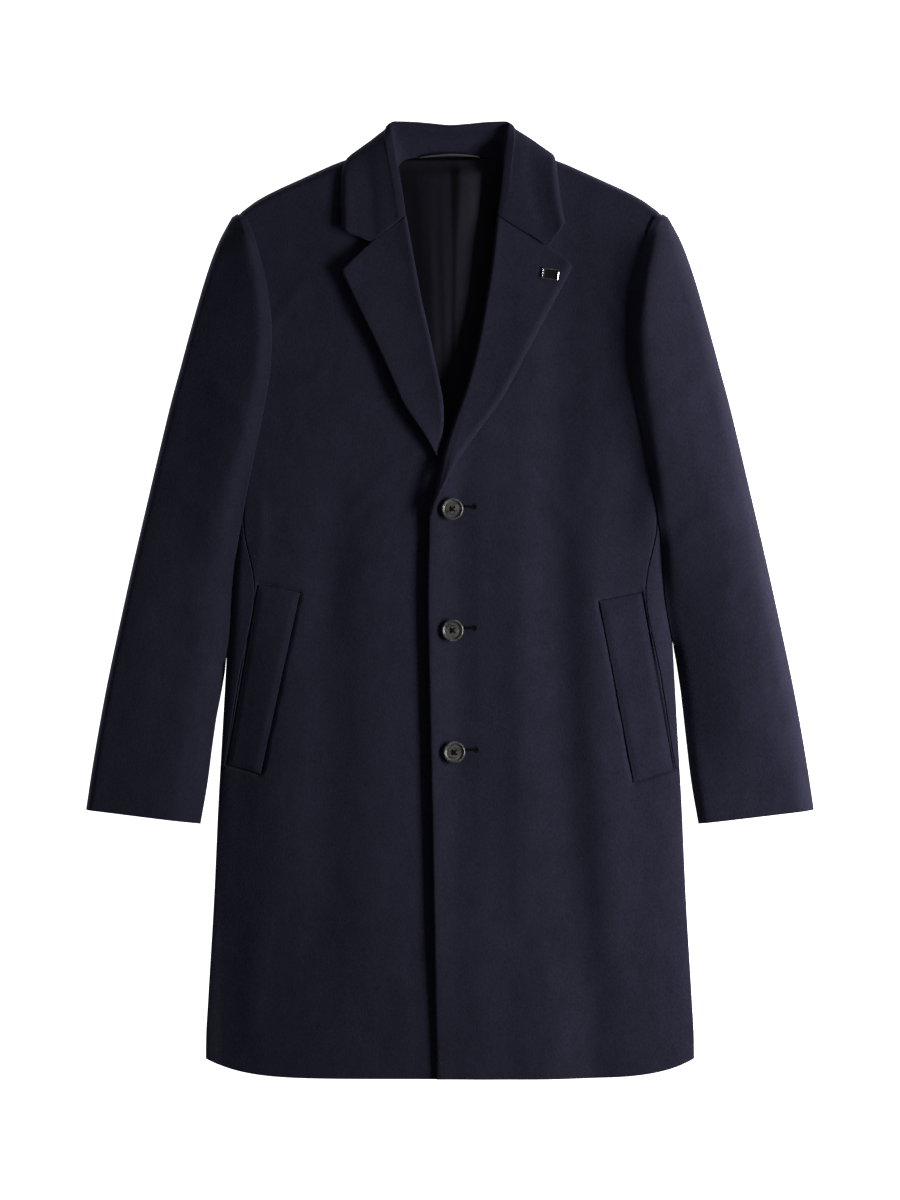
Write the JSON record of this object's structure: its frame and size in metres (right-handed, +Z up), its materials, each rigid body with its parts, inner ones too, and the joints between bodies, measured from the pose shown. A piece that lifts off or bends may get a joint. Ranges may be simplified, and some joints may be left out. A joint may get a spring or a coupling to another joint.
{
  "type": "single-breasted coat",
  "caption": "Men's single-breasted wool coat lying flat, with notch lapels, slanted welt pockets, a lined neck and a hanger loop.",
  "frame": {"origin": "middle of the coat's footprint on the surface it lies on", "axes": "+Z up from the surface, +Y from the hem towards the collar, +X towards the coat's left side (right in the picture)"},
  "size_m": [0.764, 1.0022, 0.0372],
  "materials": {
    "wool": "dark navy felted wool, matt with a soft nap",
    "lining": "charcoal satin lining with a soft sheen",
    "loop": "bright grey cord with a metallic sheen",
    "pin": "plain dark metal plate with polished edges",
    "button": "smoky grey polished horn look"
  },
  "bodies": {
    "root": {"back": "wool", "front_left": "wool", "front_right": "wool", "side_left": "wool", "side_right": "wool", "sleeve_top_left": "wool", "sleeve_top_right": "wool", "sleeve_under_left": "wool", "sleeve_under_right": "wool", "lapel_left": "wool", "lapel_right": "wool", "collar": "wool", "welt_left": "wool", "welt_right": "wool", "lining_back": "lining", "hanger_loop": "loop", "lapel_pin": "pin", "button_1": "button", "button_2": "button", "button_3": "button"}
  },
  "joints": []
}
